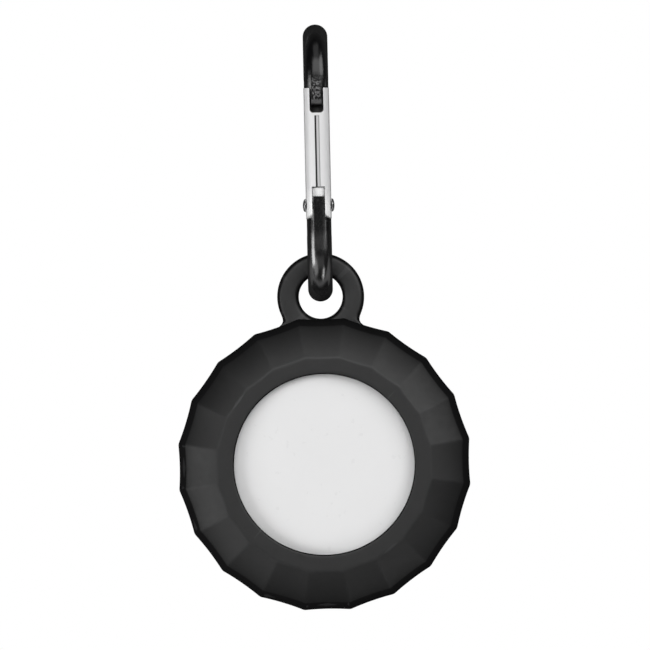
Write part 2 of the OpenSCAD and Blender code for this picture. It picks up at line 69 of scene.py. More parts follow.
# Hook: roots of the tongues and edges of the rod's ends, which only the scene has
NOSE_ROOT_R = 0.65
HINGE_ROOT_R = 0.3
ROD_END_EDGE_R = 0.12

# Hook: levels worked out from the bends
ROD_R = ROD_D / 2
TOP_BEND_Z = ROD_R - SMALL_BEND_R
TOP_WIDE_Z = ROD_R - WIDE_BEND_R
FOOT_Z = ROD_D + ROD_R - HOOK_LENGTH
BOTTOM_BEND_Z = FOOT_Z + SMALL_BEND_R
BOTTOM_WIDE_Z = FOOT_Z + WIDE_BEND_R
NOSE_STEP_Z = TOP_BEND_Z - NOSE_STRAIGHT
NOSE_SHOULDER_Z = NOSE_STEP_Z - NOSE_FLAT_LEN
HINGE_STEP_Z = BOTTOM_BEND_Z + HINGE_STRAIGHT
HINGE_SHOULDER_Z = HINGE_STEP_Z + HINGE_FLAT_LEN

# Gate, spring and rivet: driving sizes, as in the part
GATE_D = 3.85
GATE_WALL = 0.5
GATE_GAP = 0.2
GATE_END_R = 2.05
SEAM_W = 0.68
SEAM_DEPTH = 0.2
SEAM_END = 0.4
NOSE_SLOT_W = 2.1
NOSE_SLOT_LEN = 3.75
HINGE_SLOT_W = 1.95
HINGE_SLOT_OVER = 2.8
RIVET_D = 1.2
RIVET_HEAD_D = 2.0
RIVET_HEAD_H = 0.45
FOLLOWER_T = 1.3

# Gate: the slit in its groove and its rounded edges, which only the scene has
SLIT_W = 0.26
SLIT_FLOOR_T = 0.05
GATE_EDGE_R = 0.06
GATE_END_LAP = 0.01

# Gate: levels and depths worked out from the hook
GATE_Y = -SMALL_BEND_R
GATE_R = GATE_D / 2
GATE_BORE_R = GATE_R - GATE_WALL
GATE_TOP_Z = NOSE_SHOULDER_Z - GATE_GAP
RIVET_Z = HINGE_SHOULDER_Z + GATE_GAP + GATE_END_R
RIVET_R = RIVET_D / 2
RIVET_HEAD_R = RIVET_HEAD_D / 2
GROOVE_TOP_Z = GATE_TOP_Z - NOSE_SLOT_LEN - SEAM_END
TONGUE_FRONT = ROD_R - SLIDE_GAP
TONGUE_BACK = math.sqrt(GATE_BORE_R ** 2 - (TONGUE_T / 2) ** 2) - 1.5 * SLIDE_GAP
TONGUE_TOP_Z = RIVET_Z + HINGE_SLOT_OVER - FOLLOWER_T - 2 * SLIDE_GAP

# Rivet heads: a low dome with a rolled edge
DOME_R = 0.72
DOME_DROP = 0.1
ROLL_INNER_R = 0.9
ROLL_INNER_DROP = 0.19
ROLL_OUTER_DROP = 0.32
HEAD_UNDERCUT = 0.02

# Tag: driving sizes, as in the part
TAG_R = 15.95
TAG_HALF_T = 4.0
TAG_EDGE_R = 2.4
SHELL_WALL = 0.8
JOINT_LEVEL = -1.0

# Tag: the hairline round edge at its joint, and the spacing of the rings of points on its face
JOINT_EDGE_R = 0.06
FACE_RING_STEP = 4.0

# Hanging ring: driving sizes, as in the part
RING_HOLE_D = 6.64
RING_BAND = 3.27
RING_T = 3.0
RING_EDGE_R = 0.8
RING_RISE = 0.15

# Hanging ring: its fillet to the case, and how far that can reach beyond the ring
NECK_BLEND = 1.6
NECK_REACH = 2.6
NECK_START = 0.05

# Case: driving sizes, as in the part
RIM_W = 5.85
FACETS = 20
FACET_HOLLOW_R = 40.0
FACET_W = 5.85
SLOPE_IN = 18.0
SLOPE_OUT = 30.0
ROLL_R = 2.25
WINDOW_R = 13.65
LIP_T = 1.3

# Case: rounding of its lips and of the crease round its flat front, which only the scene has
LIP_EDGE_R = 0.3
LIP_BACK_R = 0.2
CREASE_R = 1.5

# Case: half the share of a facet that its round ridge takes, and where columns and rings of points stand
RIDGE_SHARE = 0.09
COLUMN_SHARES = (1.0, 0.985, 0.97, 0.95, 0.92, 0.88, 0.78, 0.55, 0.28)
FLAT_SHARES = (0.2, 0.5, 0.8)

# Case and ring: radii and levels worked out from the tag and the hook
RING_HOLE_R = RING_HOLE_D / 2
RING_R = RING_HOLE_R + RING_BAND
RING_HALF_T = RING_T / 2
RING_Z = FOOT_Z + ROD_R + HANG_GAP - RING_HOLE_R
POCKET_R = TAG_R + POCKET_GAP
POCKET_HALF_T = TAG_HALF_T + POCKET_GAP
POCKET_EDGE_R = TAG_EDGE_R + POCKET_GAP
CASE_R = POCKET_R + RIM_W
CASE_Z = RING_Z - RING_HOLE_R - RING_RISE - CASE_R
CASE_HALF_T = POCKET_HALF_T + LIP_T

# Case: the section through the middle of a facet, as distances from the tag's axis
FLAT_R = CASE_R - FACET_W
ROLL_START_R = CASE_R - ROLL_R * (1 - math.sin(math.radians(SLOPE_OUT)))
SLOPE_R = (ROLL_START_R - FLAT_R) / (math.sin(math.radians(SLOPE_OUT)) - math.sin(math.radians(SLOPE_IN)))
SLOPE_CENTRE_R = FLAT_R - SLOPE_R * math.sin(math.radians(SLOPE_IN))
SLOPE_CENTRE_H = CASE_HALF_T - SLOPE_R * math.cos(math.radians(SLOPE_IN))
ROLL_CENTRE_R = CASE_R - ROLL_R
ROLL_CENTRE_H = SLOPE_CENTRE_H + (SLOPE_R - ROLL_R) * math.cos(math.radians(SLOPE_OUT))

# How finely round shapes are divided
ROD_STEPS = 64
BEND_STEPS = 28
SPINE_STEPS = 12
GATE_STEPS = 96
HOLE_STEPS = 40
HEAD_STEPS = 48
DOME_STEPS = 6
RING_STEPS = 180
TAG_STEPS = 192
NECK_HALVINGS = 30


def new_object(name, verts, faces, smooth=True):
    """An object from points in millimetres, with its faces turned outwards."""
    mesh = bpy.data.meshes.new(name)
    mesh.from_pydata([Vector(v) * MM for v in verts], [], faces)
    made = bmesh.new()
    made.from_mesh(mesh)
    bmesh.ops.recalc_face_normals(made, faces=made.faces)
    made.to_mesh(mesh)
    made.free()
    if smooth:
        mesh.shade_smooth()
    obj = bpy.data.objects.new(name, mesh)
    bpy.context.scene.collection.objects.link(obj)
    return obj


def arc(centre_a, centre_b, radius, from_deg, to_deg, steps):
    """Points on an arc in a plane, angles counted from the second axis towards the first."""
    points = []
    for step in range(steps + 1):
        angle = math.radians(from_deg + (to_deg - from_deg) * step / steps)
        points.append((centre_a + radius * math.sin(angle), centre_b + radius * math.cos(angle)))
    return points


def circle(radius, steps, centre=(0.0, 0.0)):
    """Points round a circle in a plane, the first on the second axis."""
    points = []
    for step in range(steps):
        angle = math.tau * step / steps
        points.append((centre[0] + radius * math.sin(angle), centre[1] + radius * math.cos(angle)))
    return points


def grid_faces(rows, columns, close_rows=False):
    """Quads over a grid of points, row by row, closed along each row."""
    faces = []
    for row in range(rows if close_rows else rows - 1):
        this = row * columns
        following = (row + 1) % rows * columns
        for column in range(columns):
            beside = (column + 1) % columns
            faces.append((this + column, this + beside, following + beside, following + column))
    return faces


def apply_modifier(obj, kind, **settings):
    """Adds a modifier, sets it and applies it at once."""
    modifier = obj.modifiers.new(kind, kind)
    for key, value in settings.items():
        setattr(modifier, key, value)
    bpy.context.view_layer.objects.active = obj
    bpy.ops.object.modifier_apply(modifier=modifier.name)


def cut(obj, cutter, operation="DIFFERENCE"):
    """Cuts one object by another, or keeps what both share, and deletes the other."""
    apply_modifier(obj, "BOOLEAN", object=cutter, operation=operation, solver="EXACT")
    bpy.data.objects.remove(cutter)


def prism(name, low_points, high_points):
    """A solid between two outlines that have as many points."""
    count = len(low_points)
    faces = [tuple(range(count)), tuple(range(2 * count - 1, count - 1, -1))]
    for at in range(count):
        beside = (at + 1) % count
        faces.append((at, beside, count + beside, count + at))
    return new_object(name, low_points + high_points, faces, smooth=False)


def prism_x(name, outline, low_x, high_x):
    """An outline of (y, z) points carried along X."""
    return prism(name, [(low_x, y, z) for y, z in outline], [(high_x, y, z) for y, z in outline])


def prism_y(name, outline, low_y, high_y):
    """An outline of (x, z) points carried along Y."""
    return prism(name, [(x, low_y, z) for x, z in outline], [(x, high_y, z) for x, z in outline])


def column(name, radius, low_z, high_z, steps):
    """An upright round bar on the gate's axis, used as a blank or a cutter."""
    outline = [(x, GATE_Y - out) for x, out in circle(radius, steps)]
    return prism(name, [(x, y, low_z) for x, y in outline], [(x, y, high_z) for x, y in outline])


def block(name, low, high):
    """A box between two corners."""
    corners = [(x, y, z) for x in (low[0], high[0]) for y in (low[1], high[1]) for z in (low[2], high[2])]
    faces = [(0, 1, 3, 2), (4, 6, 7, 5), (0, 4, 5, 1), (2, 3, 7, 6), (0, 2, 6, 4), (1, 5, 7, 3)]
    return new_object(name, corners, faces, smooth=False)


def soften(obj, width, segments, angle_deg=32):
    """Rounds the sharp edges of an object and shades it smooth."""
    apply_modifier(
        obj, "BEVEL", width=width * MM, segments=segments, limit_method="ANGLE",
        angle_limit=math.radians(angle_deg), use_clamp_overlap=True,
    )
    obj.data.shade_smooth()
    bpy.context.view_layer.objects.active = obj
    obj.select_set(True)
    bpy.ops.object.shade_smooth_by_angle(angle=math.radians(angle_deg))
    obj.select_set(False)
    apply_modifier(obj, "WEIGHTED_NORMAL", keep_sharp=True, weight=100)


# Case


def softened(share):
    """A share of half a facet, eased near the ridge so that the ridge is round."""
    size = abs(share)
    start = 1 - RIDGE_SHARE
    if size > start:
        size -= (size - start) ** 2 / (2 * RIDGE_SHARE)
    return size


def facet_reach(mid_r, share):
    """Distance from the tag's axis at a share of half a facet off its middle."""
    off = math.pi / FACETS * softened(share)
    axis_r = CASE_R + FACET_HOLLOW_R
    hollow_r = axis_r - mid_r
    return axis_r * math.cos(off) - math.sqrt(hollow_r ** 2 - (axis_r * math.sin(off)) ** 2)


def pocket_rows():
    """The pocket from its middle to the window, as rows of (middle radius, height)."""
    corner_h = POCKET_HALF_T - POCKET_EDGE_R
    rows = [(POCKET_R, 0.0), (POCKET_R, corner_h / 2)]
    rows += arc(POCKET_R - POCKET_EDGE_R, corner_h, POCKET_EDGE_R, 90, 0, steps=8)
    rows.pop()
    rows += arc(WINDOW_R + LIP_BACK_R, POCKET_HALF_T + LIP_BACK_R, LIP_BACK_R, 180, 270, steps=3)
    rows += arc(WINDOW_R + LIP_EDGE_R, CASE_HALF_T - LIP_EDGE_R, LIP_EDGE_R, 270, 360, steps=6)
    return rows


def case_rows():
    """The case's front half as rows of (middle radius, height, share of facets), from pocket to rim."""
    rows = [(radius, height, 0.0) for radius, height in pocket_rows()]
    flat_start = WINDOW_R + LIP_EDGE_R
    flat_end = FLAT_R - CREASE_R * math.tan(math.radians(SLOPE_IN / 2))
    rows += [(flat_start + (flat_end - flat_start) * share, CASE_HALF_T, share) for share in FLAT_SHARES]
    slope = arc(flat_end, CASE_HALF_T - CREASE_R, CREASE_R, 0, SLOPE_IN, steps=5)
    slope += arc(SLOPE_CENTRE_R, SLOPE_CENTRE_H, SLOPE_R, SLOPE_IN + 1, SLOPE_OUT, steps=10)
    slope += arc(ROLL_CENTRE_R, ROLL_CENTRE_H, ROLL_R, SLOPE_OUT, 90, steps=14)[1:]
    slope += [(CASE_R, ROLL_CENTRE_H / 2), (CASE_R, 0.0)]
    return rows + [(radius, height, 1.0) for radius, height in slope]


def build_case():
    """The soft case: hollow facets with round ridges, a crease round its flat front, and the pocket."""
    front = case_rows()
    rows = front + [(radius, -height, share) for radius, height, share in reversed(front[1:-1])]
    offsets = [-share for share in COLUMN_SHARES] + [0.0]
    offsets += [share for share in reversed(COLUMN_SHARES[1:])]
    verts = []
    for mid_r, height, facet_share in rows:
        for facet in range(FACETS):
            for offset in offsets:
                around = math.tau * (facet + offset / 2) / FACETS
                reach = mid_r + facet_share * (facet_reach(mid_r, offset) - mid_r)
                verts.append((reach * math.sin(around), -height, CASE_Z + reach * math.cos(around)))
    columns = FACETS * len(offsets)
    return new_object("case_body", verts, grid_faces(len(rows), columns, close_rows=True))


# Hanging ring


def smooth_union(first, second, blend):
    """Distance to two shapes joined by a fillet."""
    share = max(blend - abs(first - second), 0.0) / blend
    return min(first, second) - share * share * blend / 4


def case_outline_distance(x, z):
    """Distance outside the case's outline, seen from the front."""
    away = math.hypot(x, z - CASE_Z)
    around = math.atan2(x, z - CASE_Z) * FACETS / math.tau
    return away - facet_reach(CASE_R, 2 * (around - round(around)))


def ring_outer(angle):
    """Distance from the ring's middle to its outer edge, with the fillets that join it to the case."""
    low = RING_R - NECK_START
    high = RING_R + NECK_REACH
    for _ in range(NECK_HALVINGS):
        middle = (low + high) / 2
        x = middle * math.sin(angle)
        z = RING_Z + middle * math.cos(angle)
        if smooth_union(middle - RING_R, case_outline_distance(x, z), NECK_BLEND) < 0:
            low = middle
        else:
            high = middle
    return low


def build_ring():
    """The hanging ring with round edges and a small neck."""
    edge = arc(0.0, 0.0, RING_EDGE_R, 0, 90, steps=6)
    flat_h = RING_HALF_T - RING_EDGE_R
    verts = []
    for step in range(RING_STEPS):
        angle = math.tau * step / RING_STEPS
        outer = ring_outer(angle)
        half = [(RING_HOLE_R + RING_EDGE_R - a, flat_h + b) for a, b in reversed(edge)]
        half.append(((RING_HOLE_R + outer) / 2, RING_HALF_T))
        half += [(outer - RING_EDGE_R + a, flat_h + b) for a, b in edge]
        section = half + [(radius, -height) for radius, height in reversed(half)]
        for radius, height in section:
            verts.append((radius * math.sin(angle), -height, RING_Z + radius * math.cos(angle)))
    columns = len(verts) // RING_STEPS
    return new_object("case_ring", verts, grid_faces(RING_STEPS, columns, close_rows=True))


# Hook


def bend(centre_z, radius, from_turn, first_step=0):
    """Middle line of a quarter bend of the rod, as (y, z, angle of travel)."""
    points = []
    for step in range(first_step, BEND_STEPS + 1):
        turn = from_turn + 90 * step / BEND_STEPS
        angle = math.radians(turn)
        points.append((-radius * math.cos(angle), centre_z + radius * math.sin(angle), turn))
    return points


def hook_path():
    """Middle line of the rod, from the top of the nose round to the hinge end."""
    path = bend(TOP_BEND_Z, SMALL_BEND_R, 0)
    path += bend(TOP_WIDE_Z, WIDE_BEND_R, 90, first_step=1)
    for step in range(1, SPINE_STEPS):
        path.append((WIDE_BEND_R, TOP_WIDE_Z + (BOTTOM_WIDE_Z - TOP_WIDE_Z) * step / SPINE_STEPS, 180))
    path += bend(BOTTOM_WIDE_Z, WIDE_BEND_R, 180)
    path += bend(BOTTOM_BEND_Z, SMALL_BEND_R, 270, first_step=1)
    return path


def build_rod():
    """The bent rod from nose to hinge end. Its ends stay open, because the end pieces go on."""
    path = hook_path()
    verts = []
    for y, z, turn in path:
        angle = math.radians(turn)
        for x, out in circle(ROD_R, ROD_STEPS):
            verts.append((x, y - out * math.cos(angle), z + out * math.sin(angle)))
    return new_object("hook_rod", verts, grid_faces(len(path), ROD_STEPS))


def open_end(obj, level_z):
    """Takes away the faces of an object that lie flat at a level, so that its end stays open."""
    near = 0.001 * MM
    made = bmesh.new()
    made.from_mesh(obj.data)
    flat = []
    for face in made.faces:
        if all(abs(vert.co.z - level_z * MM) < near for vert in face.verts):
            flat.append(face)
    bmesh.ops.delete(made, geom=flat, context="FACES")
    made.to_mesh(obj.data)
    made.free()


def side_cutter(name, side, shoulder_z, far_z, root_r):
    """Takes away one side of the rod's end beyond its shoulder, with a round root beside the tongue."""
    inner_x = TONGUE_T / 2
    way = 1 if far_z > shoulder_z else -1
    outline = [(side * ROD_D, far_z), (side * inner_x, far_z)]
    for a, b in arc(0.0, 0.0, root_r, 0, 90, steps=6):
        outline.append((side * (inner_x + root_r - b), shoulder_z + way * (root_r - a)))
    outline.append((side * ROD_D, shoulder_z))
    return prism_y(name, outline, GATE_Y - ROD_D, GATE_Y + ROD_D)


def flat_cutter(name, side, low_z, high_z):
    """Takes away what lies outside the pressed flat on one side."""
    low_x, high_x = sorted((side * FLAT_W / 2, side * ROD_D))
    return block(name, (low_x, GATE_Y - ROD_D, low_z), (high_x, GATE_Y + ROD_D, high_z))


def back_cutter(name, shoulder_z, tip_z, way):
    """Takes away the back of a tongue, so that the gate's wall has room behind it."""
    tongue_y = GATE_Y + TONGUE_BACK
    far_y = GATE_Y + ROD_D
    root_z = shoulder_z + way * GATE_GAP / 2
    beyond_z = tip_z + way * OVER
    outline = [(tongue_y, root_z), (tongue_y, beyond_z), (far_y, beyond_z), (far_y, shoulder_z)]
    return prism_x(name, outline, -ROD_R, ROD_R)


def round_tip(name, top_z, shoulder_z, tip_z):
    """What stays of a hanging tongue: all above its shoulder, and a half-round tip."""
    tip_r = (TONGUE_FRONT + TONGUE_BACK) / 2
    middle_y = GATE_Y + TONGUE_BACK - tip_r
    outline = [
        (GATE_Y - ROD_D, top_z + OVER), (GATE_Y + ROD_D, top_z + OVER),
        (GATE_Y + ROD_D, shoulder_z), (middle_y + tip_r, tip_z + tip_r),
    ]
    outline += arc(middle_y, tip_z + tip_r, tip_r, 90, 270, steps=14)[1:]
    outline.append((GATE_Y - ROD_D, shoulder_z))
    return prism_x(name, outline, -ROD_D, ROD_D)


def build_rod_end(name, start_z, step_z, shoulder_z, tip_z, root_r):
    """An end of the rod: pressed flats, curved shoulders and the tongue that the gate straddles."""
    way = 1 if tip_z > shoulder_z else -1
    low_z, high_z = sorted((start_z, tip_z))
    flat_low_z, flat_high_z = sorted((step_z, 2 * tip_z - step_z))
    end = column(name, ROD_R, low_z, high_z, ROD_STEPS)
    for side in (-1, 1):
        cut(end, flat_cutter(name + "_flat", side, flat_low_z, flat_high_z))
    for side in (-1, 1):
        cut(end, side_cutter(name + "_side", side, shoulder_z, 2 * tip_z - shoulder_z, root_r))
    cut(end, back_cutter(name + "_back", shoulder_z, tip_z, way))
    if way < 0:
        cut(end, round_tip(name + "_keep", high_z, shoulder_z, tip_z), "INTERSECT")
    open_end(end, start_z)
    soften(end, ROD_END_EDGE_R, segments=3)
    return end


# Gate and rivet


def gate_side():
    """The gate's outline from the side, as (y, z) points: open above, round about the rivet below."""
    far_y = 2 * GATE_END_R
    level_z = RIVET_Z + GATE_END_LAP
    outline = [(GATE_Y + far_y, GATE_TOP_Z + OVER), (GATE_Y - far_y, GATE_TOP_Z + OVER)]
    outline.append((GATE_Y - far_y, level_z))
    outline += arc(GATE_Y, RIVET_Z, GATE_END_R, 270, 90, steps=24)
    outline.append((GATE_Y + far_y, level_z))
    return outline


def nose_slot_outline():
    """The slot for the nose tongue, as (x, z) points, with its two lower corners rounded."""
    half_w = NOSE_SLOT_W / 2
    corner_r = NOSE_SLOT_W / 4
    corner_x = half_w - corner_r
    corner_z = GATE_TOP_Z - NOSE_SLOT_LEN + corner_r
    outline = [(half_w, GATE_TOP_Z + OVER), (-half_w, GATE_TOP_Z + OVER)]
    outline += arc(-corner_x, corner_z, corner_r, 270, 180, steps=5)
    outline += arc(corner_x, corner_z, corner_r, 180, 90, steps=5)
    return outline


def build_gate():
    """The gate: sheet rolled into a tube, with its seam, the slots for both tongues and a round end."""
    end_z = RIVET_Z - GATE_END_R
    front_y = GATE_Y - GATE_D
    gate = column("gate_tube", GATE_R, end_z, GATE_TOP_Z, GATE_STEPS)
    cut(gate, column("gate_bore", GATE_BORE_R, end_z - OVER, GATE_TOP_Z + OVER, GATE_STEPS))
    cut(gate, prism_x("gate_end", gate_side(), -GATE_D, GATE_D), "INTERSECT")
    groove_left = -SEAM_W / 2
    groove_floor_y = GATE_Y - GATE_R + SEAM_DEPTH
    slit_floor_y = GATE_Y - GATE_BORE_R - SLIT_FLOOR_T
    for name, right, floor_y in (
        ("gate_seam", groove_left + SEAM_W, groove_floor_y),
        ("gate_slit", groove_left + SLIT_W, slit_floor_y),
    ):
        cut(gate, block(name, (groove_left, front_y, RIVET_Z), (right, floor_y, GROOVE_TOP_Z)))
    cut(gate, prism_y("gate_nose_slot", nose_slot_outline(), front_y, GATE_Y))
    half_w = HINGE_SLOT_W / 2
    for name, low_y, high_y, top_z in (
        ("gate_hinge_slot", front_y, GATE_Y, RIVET_Z + HINGE_SLOT_OVER),
        ("gate_web_slot", GATE_Y, GATE_Y + GATE_D, TONGUE_TOP_Z),
    ):
        cut(gate, block(name, (-half_w, low_y, end_z - OVER), (half_w, high_y, top_z)))
    hole = circle(RIVET_R + RIVET_GAP, HOLE_STEPS, (GATE_Y, RIVET_Z))
    cut(gate, prism_x("gate_hole", hole, -GATE_D, GATE_D))
    soften(gate, GATE_EDGE_R, segments=2)
    return gate


def rivet_head():
    """Half section of a rivet head as (radius, height) points, from its middle to the shank."""
    section = []
    for step in range(DOME_STEPS + 1):
        share = step / DOME_STEPS
        section.append((DOME_R * share, RIVET_HEAD_H - DOME_DROP * share ** 2))
    section.append((ROLL_INNER_R, RIVET_HEAD_H - ROLL_INNER_DROP))
    section.append((RIVET_HEAD_R, RIVET_HEAD_H - ROLL_OUTER_DROP))
    section += [(RIVET_HEAD_R - HEAD_UNDERCUT, 0.0), (RIVET_R, 0.0)]
    return section


def build_rivet():
    """The rivet: its shank and a head on each side of the gate."""
    right = [(radius, GATE_R + RIVET_GAP + height) for radius, height in rivet_head()]
    section = right + [(radius, -x) for radius, x in reversed(right)]
    verts = []
    for radius, x in section:
        verts += [(x, y, z) for y, z in circle(radius, HEAD_STEPS, (GATE_Y, RIVET_Z))]
    return new_object("rivet", verts, grid_faces(len(section), HEAD_STEPS))


# Tag


def shell_section():
    """Section of the front housing as (radius, height) points, with a hairline round edge at the joint."""
    inner_r = TAG_R - SHELL_WALL
    inner_h = TAG_HALF_T - SHELL_WALL
    inner_edge = TAG_EDGE_R - SHELL_WALL
    section = [(ring * FACE_RING_STEP, TAG_HALF_T) for ring in (1, 2, 3)]
    section += arc(TAG_R - TAG_EDGE_R, TAG_HALF_T - TAG_EDGE_R, TAG_EDGE_R, 0, 90, steps=14)
    section += [(TAG_R, JOINT_LEVEL + JOINT_EDGE_R), (TAG_R - JOINT_EDGE_R, JOINT_LEVEL)]
    section.append((inner_r, JOINT_LEVEL))
    section += arc(inner_r - inner_edge, inner_h - inner_edge, inner_edge, 90, 0, steps=8)
    section += [(ring * FACE_RING_STEP, inner_h) for ring in (2, 1)]
    return section


def build_front_shell():
    """The tag's front housing, turned about its axis, with a flat face inside and outside."""
    section = shell_section()
    verts = []
    for radius, height in section:
        verts += [(x, -height, z) for x, z in circle(radius, TAG_STEPS, (0.0, CASE_Z))]
    faces = grid_faces(len(section), TAG_STEPS)
    last = len(verts) - TAG_STEPS
    faces += [tuple(range(TAG_STEPS)), tuple(range(last, last + TAG_STEPS))]
    return new_object("tag_front", verts, faces)


# Materials

EVEN_SHARES = (1, 1, 1)
PATCH_SHARES = (0.3, 0.7)
SOOT = (0.03, 0.03, 0.031)


class Look:
    """A node material with one Principled shader, built up a step at a time."""

    def __init__(self, name, colour, metallic=0.0, roughness=0.5, specular=0.5):
        self.material = bpy.data.materials.new(name)
        self.material.use_nodes = True
        self.tree = self.material.node_tree
        self.shader = self.tree.nodes["Principled BSDF"]
        self.shader.inputs["Metallic"].default_value = metallic
        self.shader.inputs["Specular IOR Level"].default_value = specular
        self.shader.inputs["Roughness"].default_value = roughness
        self.shader.inputs["Base Color"].default_value = (*colour, 1)
        self.colour = colour
        self.roughness = roughness
        self.place = self.tree.nodes.new("ShaderNodeTexCoord")
        self.relief = None

    def link(self, out, into):
        """Links what a node gives into a socket."""
        self.tree.links.new(out, into)

    def noise(self, per_mm, detail=3, stretch=EVEN_SHARES):
        """Noise with so many cells to the millimetre."""
        mapping = self.tree.nodes.new("ShaderNodeMapping")
        mapping.inputs["Scale"].default_value = [per_mm / MM * share for share in stretch]
        noise = self.tree.nodes.new("ShaderNodeTexNoise")
        noise.inputs["Scale"].default_value = 1.0
        noise.inputs["Detail"].default_value = detail
        self.link(self.place.outputs["Object"], mapping.inputs["Vector"])
        self.link(mapping.outputs["Vector"], noise.inputs["Vector"])
        return noise.outputs["Fac"]

    def ramp(self, value, low, high):
        """A colour ramp from low to high over the middle of a noise value."""
        ramp = self.tree.nodes.new("ShaderNodeValToRGB")
        for element, place, colour in zip(ramp.color_ramp.elements, PATCH_SHARES, (low, high)):
            element.position = place
            element.color = (*colour, 1)
        self.link(value, ramp.inputs["Fac"])
        return ramp.outputs["Color"]

    def vary_colour(self, per_mm, spread, detail=4, stretch=EVEN_SHARES):
        """Lets the colour drift round its own by a share of it."""
        low = tuple(channel * (1 - spread) for channel in self.colour)
        high = tuple(min(channel * (1 + spread), 1.0) for channel in self.colour)
        patches = self.noise(per_mm, detail, stretch)
        self.link(self.ramp(patches, low, high), self.shader.inputs["Base Color"])

    def vary_roughness(self, per_mm, spread, detail=4, stretch=EVEN_SHARES):
        """Lets the roughness drift round its own by a share of it."""
        low = self.roughness * (1 - spread)
        high = min(self.roughness * (1 + spread), 1.0)
        patches = self.noise(per_mm, detail, stretch)
        self.link(self.ramp(patches, (low, low, low), (high, high, high)), self.shader.inputs["Roughness"])

    def add_grain(self, per_mm, depth, strength, detail=3, stretch=EVEN_SHARES):
        """Raises the surface by noise of a depth in millimetres, over what was raised before."""
        bump = self.tree.nodes.new("ShaderNodeBump")
        bump.inputs["Strength"].default_value = strength
        bump.inputs["Distance"].default_value = depth * MM
        self.link(self.noise(per_mm, detail, stretch), bump.inputs["Height"])
        if self.relief is not None:
            self.link(self.relief, bump.inputs["Normal"])
        self.relief = bump.outputs["Normal"]
        self.link(self.relief, self.shader.inputs["Normal"])

    def mix_base(self, share, colour):
        """Mixes another colour over the base colour, by a share that a node gives."""
        mix = self.tree.nodes.new("ShaderNodeMix")
        mix.data_type = "RGBA"
        mix.inputs["B"].default_value = (*colour, 1)
        self.link(share, mix.inputs["Factor"])
        base = self.shader.inputs["Base Color"]
        if base.is_linked:
            self.link(base.links[0].from_socket, mix.inputs["A"])
        else:
            mix.inputs["A"].default_value = (*self.colour, 1)
        self.link(mix.outputs["Result"], base)

    def graded(self, value, start, end, at_start=0.0, at_end=1.0):
        """Goes from one level to another while a value goes from start to end."""
        grade = self.tree.nodes.new("ShaderNodeMapRange")
        grade.inputs["From Min"].default_value = start
        grade.inputs["From Max"].default_value = end
        grade.inputs["To Min"].default_value = at_start
        grade.inputs["To Max"].default_value = at_end
        self.link(value, grade.inputs["Value"])
        return grade.outputs["Result"]

    def along(self, axis, start, end):
        """A share that grows from one place to another along an axis."""
        axes = self.tree.nodes.new("ShaderNodeSeparateXYZ")
        self.link(self.place.outputs["Object"], axes.inputs["Vector"])
        return self.graded(axes.outputs[axis], start * MM, end * MM)

    def between_x(self, left, right, fade):
        """A share that is full between two places across the part."""
        return self.product(self.along("X", left - fade, left), self.along("X", right + fade, right))

    def product(self, first, second):
        """Two shares multiplied."""
        times = self.tree.nodes.new("ShaderNodeMath")
        times.operation = "MULTIPLY"
        self.link(first, times.inputs[0])
        self.link(second, times.inputs[1])
        return times.outputs["Value"]

    def inside_bore(self, axis_y, bore_r, fade):
        """A share that is full within a bore about an upright axis."""
        flat = self.tree.nodes.new("ShaderNodeVectorMath")
        flat.operation = "MULTIPLY_ADD"
        flat.inputs[1].default_value = (1, 1, 0)
        flat.inputs[2].default_value = (0, -axis_y * MM, 0)
        length = self.tree.nodes.new("ShaderNodeVectorMath")
        length.operation = "LENGTH"
        self.link(self.place.outputs["Object"], flat.inputs[0])
        self.link(flat.outputs["Vector"], length.inputs[0])
        return self.graded(length.outputs["Value"], (bore_r + fade) * MM, bore_r * MM)

    def turning_away(self, start, end, at_start=0.0, at_end=1.0):
        """Goes from one level to another as the surface turns away from the camera."""
        weight = self.tree.nodes.new("ShaderNodeLayerWeight")
        return self.graded(weight.outputs["Facing"], start, end, at_start, at_end)

    def calm_rim(self, specular, start, end):
        """Fades the reflection where the surface turns away from the camera, as a matt bloom does."""
        fading = self.turning_away(start, end, at_start=specular, at_end=0.0)
        self.link(fading, self.shader.inputs["Specular IOR Level"])

    def lacquer(self, share, roughness, index):
        """A second clear layer over the first, where a share says so."""
        self.shader.inputs["Coat Roughness"].default_value = roughness
        self.shader.inputs["Coat IOR"].default_value = index
        self.link(share, self.shader.inputs["Coat Weight"])

    def wear(self, colour, most, start=0.53, end=0.6):
        """Turns sharp outer edges towards another colour."""
        geometry = self.tree.nodes.new("ShaderNodeNewGeometry")
        self.mix_base(self.graded(geometry.outputs["Pointiness"], start, end, at_end=most), colour)


def grey(level):
    """A neutral colour."""
    return (level, level, level)


def case_silicone():
    """Soft matt silicone with a fine moulded grain."""
    look = Look("case_silicone", colour=(0.008, 0.008, 0.0082), roughness=0.47)
    look.vary_colour(per_mm=0.35, spread=0.08)
    look.vary_roughness(per_mm=1.1, spread=0.07, detail=5)
    look.add_grain(per_mm=9.0, depth=0.012, strength=0.35, detail=4)
    look.add_grain(per_mm=0.5, depth=0.03, strength=0.12, detail=2)
    look.wear(SOOT, most=0.6)
    look.calm_rim(specular=0.6, start=0.015, end=0.19)
    return look.material


# Enamel: where the second clear layer begins and how it fades in, and where the specks end above the rivet
LACQUER_TOP_Z = HINGE_STEP_Z + 0.975
LACQUER_FADE = 1.2
SPECKS_TOP_Z = RIVET_Z + 6.0
SPECKS_FADE = 1.0


def black_enamel(name, roughness):
    """Glossy black enamel, the ground of both enamel finishes."""
    look = Look(name, colour=(0.0025, 0.0025, 0.0027), roughness=roughness)
    look.vary_colour(per_mm=0.6, spread=0.1, detail=3)
    look.vary_roughness(per_mm=1.5, spread=0.15)
    return look


